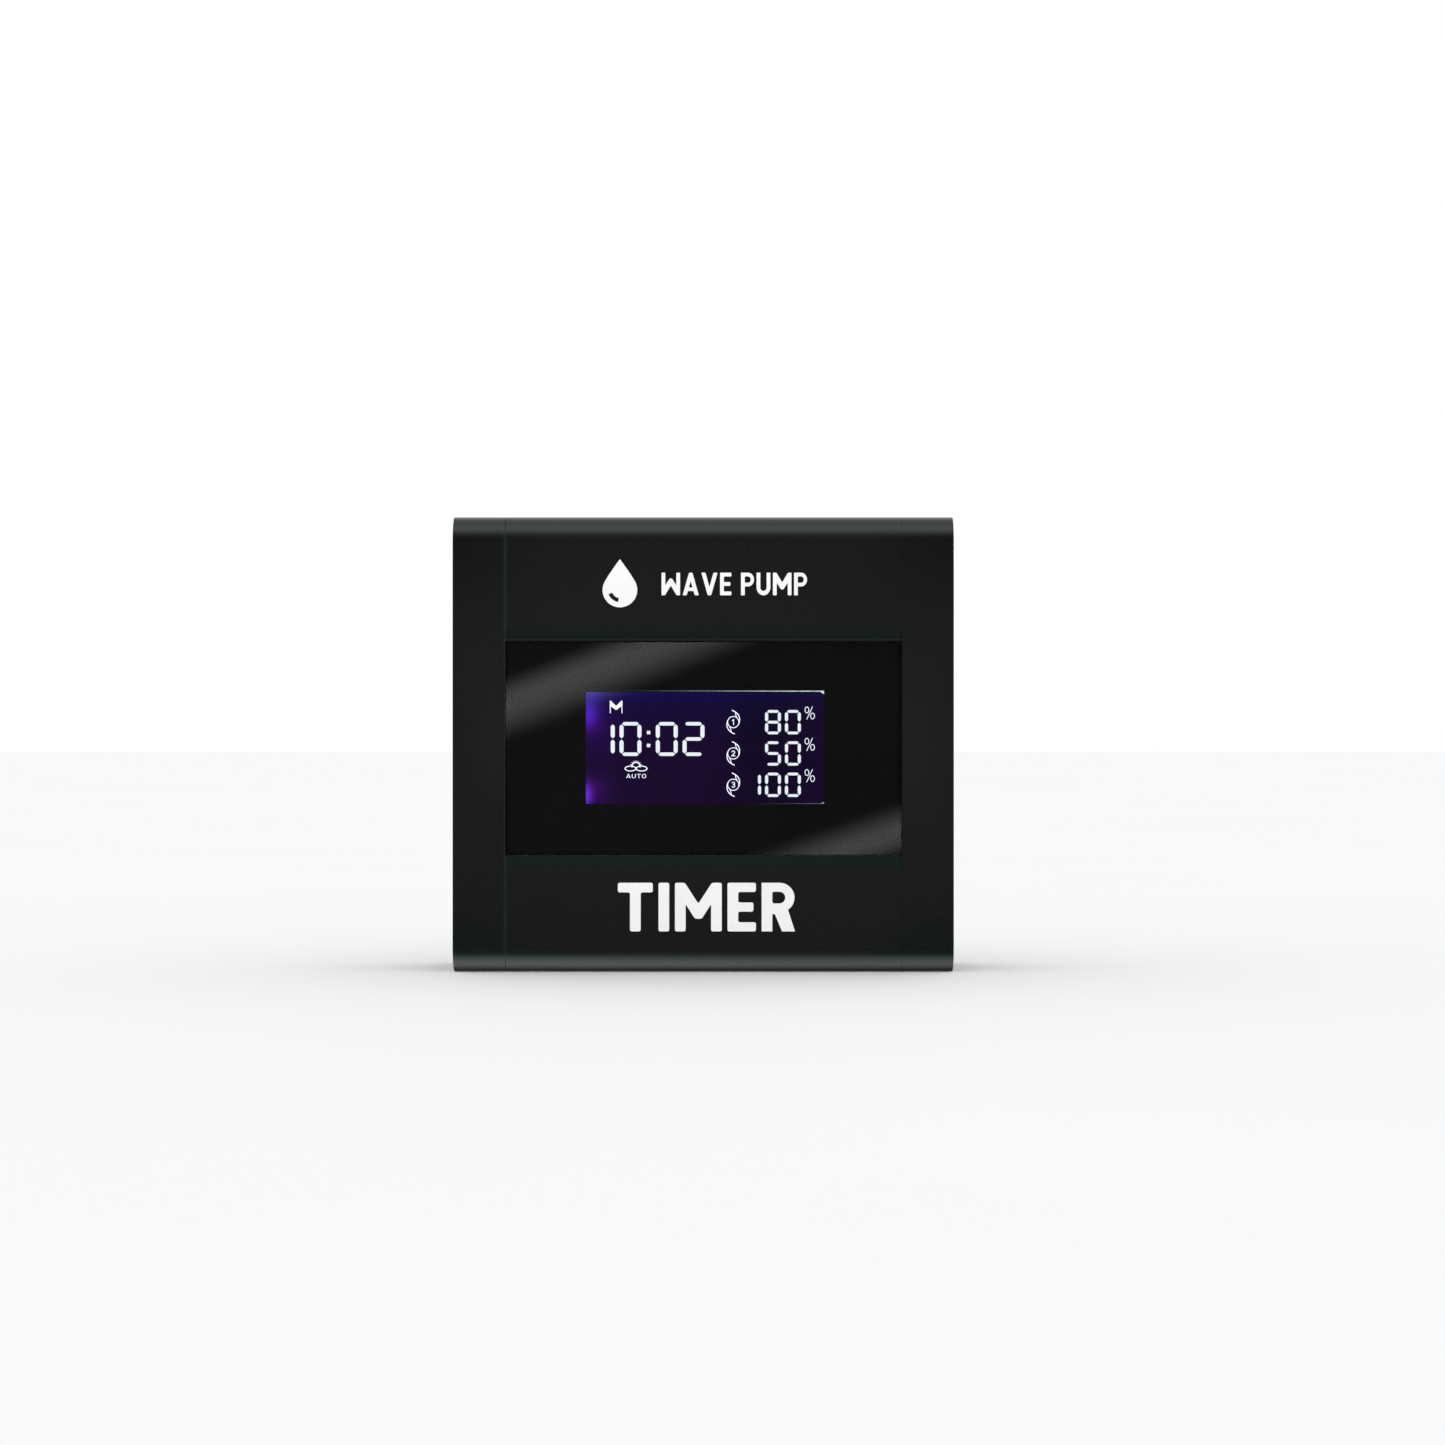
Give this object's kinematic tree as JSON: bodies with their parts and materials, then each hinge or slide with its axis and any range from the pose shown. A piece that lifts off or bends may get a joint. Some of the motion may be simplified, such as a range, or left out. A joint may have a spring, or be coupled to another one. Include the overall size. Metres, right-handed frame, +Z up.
{
  "type": "wave pump controller",
  "caption": "Flat black box with a wide glossy display window, sockets for three aquarium wave pumps on its right end, and a power jack, a button and a coin cell tray on its left end.",
  "frame": {"origin": "on the standing surface, under the centre of the bounding box", "axes": "+X to the right as seen from the front, +Y from the display to the rear, +Z up"},
  "size_m": [0.1, 0.035, 0.091],
  "materials": {
    "case_black": "fine satin texture",
    "window_clear": "dark tinted clear panel, polished",
    "mask_black": "printed black film",
    "lcd_violet": "polished, lit from behind",
    "lcd_frame_black": "moulded satin",
    "backlight_white": "milky",
    "board_green": "solder mask",
    "chip_black": "moulded",
    "steel_black": "black oxide",
    "steel_bright": "bright",
    "brass_gold": "gold plated",
    "socket_black": "satin",
    "rubber_black": "matte",
    "button_grey": "satin",
    "capacitor_blue": "printed sleeve",
    "glass_clear": "clear"
  },
  "bodies": {
    "case": {"board_header": "chip_black", "board_screw_1": "steel_bright", "board_screw_2": "steel_bright", "board_screw_3": "steel_bright", "board_screw_4": "steel_bright", "board_standoff_1": "brass_gold", "board_standoff_2": "brass_gold", "board_standoff_3": "brass_gold", "board_standoff_4": "brass_gold", "bulk_capacitor_1": "capacitor_blue", "bulk_capacitor_2": "capacitor_blue", "bulk_capacitor_3": "capacitor_blue", "coin_cell_contact": "brass_gold", "coin_cell_holder": "chip_black", "display_board": "board_green", "display_window": "window_clear", "fuse": "glass_clear", "housing_sleeve": "case_black", "jack_contact": "steel_bright", "lcd_backlight": "backlight_white", "lcd_frame": "lcd_frame_black", "lcd_glass": "lcd_violet", "lcd_zebra_strip": "rubber_black", "left_cap_screw_1": "steel_black", "left_cap_screw_2": "steel_black", "left_cap_screw_3": "steel_black", "left_cap_screw_4": "steel_black", "left_end_cap": "case_black", "left_gasket": "rubber_black", "lower_rear_pad": "rubber_black", "main_board": "board_green", "microcontroller": "chip_black", "motor_driver_1": "chip_black", "motor_driver_2": "chip_black", "motor_driver_3": "chip_black", "pair_switch": "chip_black", "power_inductor_1": "chip_black", "power_inductor_2": "chip_black", "power_inductor_3": "chip_black", "power_jack": "socket_black", "pump_contacts_1": "brass_gold", "pump_contacts_2": "brass_gold", "pump_contacts_3": "brass_gold", "pump_socket_1": "socket_black", "pump_socket_2": "socket_black", "pump_socket_3": "socket_black", "radio_module": "steel_bright", "right_cap_screw_1": "steel_black", "right_cap_screw_2": "steel_black", "right_cap_screw_3": "steel_black", "right_cap_screw_4": "steel_black", "right_end_cap": "case_black", "right_gasket": "rubber_black", "upper_rear_pad": "rubber_black", "window_mask": "mask_black"},
    "button": {"pair_button": "button_grey"},
    "coin_tray": {"coin_cell_tray": "case_black", "coin_cell": "steel_bright"}
  },
  "joints": [
    {"name": "pair_button_press", "type": "slide", "parent": "case", "child": "button", "axis": [1, 0, 0], "range_m": [0, 0.0008], "stiffness_N_per_m": 800, "springref_m": -0.0005},
    {"name": "coin_tray_slide", "type": "slide", "parent": "case", "child": "coin_tray", "axis": [-1, 0, 0], "range_m": [0, 0.026]}
  ]
}
